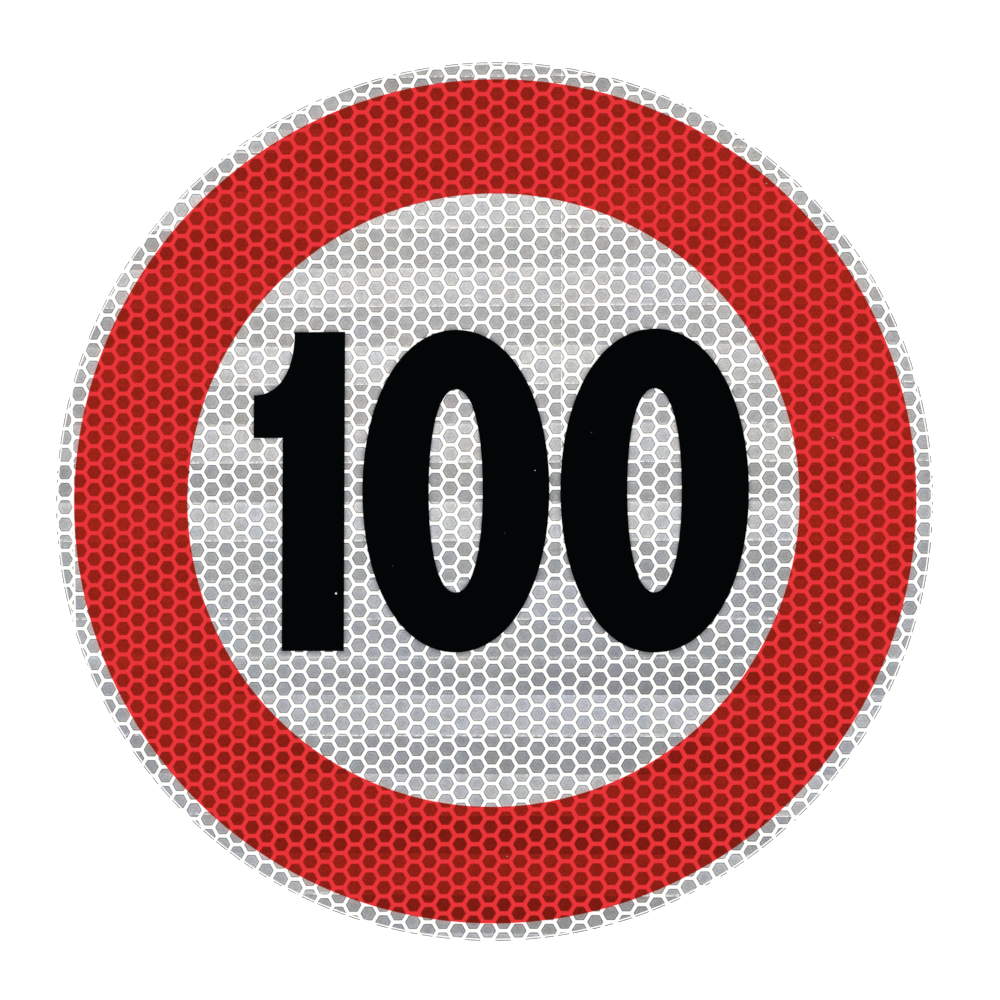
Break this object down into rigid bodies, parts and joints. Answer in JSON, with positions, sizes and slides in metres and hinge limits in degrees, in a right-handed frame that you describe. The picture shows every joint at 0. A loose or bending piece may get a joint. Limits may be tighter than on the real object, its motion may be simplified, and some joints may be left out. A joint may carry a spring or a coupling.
{
  "type": "speed limit sign",
  "caption": "Round flat reflective speed limit disc with a red border and black numerals, self-adhesive, lying face up on its peel-off liner.",
  "frame": {"origin": "centre of the liner's back face, which the disc lies on", "axes": "+Z out of the printed face, +Y towards the top of the numerals, +X to the reader's right"},
  "size_m": [0.2, 0.2, 0.0006],
  "materials": {
    "liner_paper": "smooth siliconised kraft paper, bleached, with a faint sheen",
    "reflective_film": "clear film over silver-grey prism cells, held by a white honeycomb seal",
    "red_ink": "see-through red screen ink, so that the honeycomb shows through it",
    "black_ink": "opaque black screen ink, even, with a soft gloss"
  },
  "bodies": {
    "root": {"release_liner": "liner_paper", "face_sheet": "reflective_film", "red_border": "red_ink", "digit_one": "black_ink", "digit_zero_tens": "black_ink", "digit_zero_units": "black_ink"}
  },
  "joints": []
}
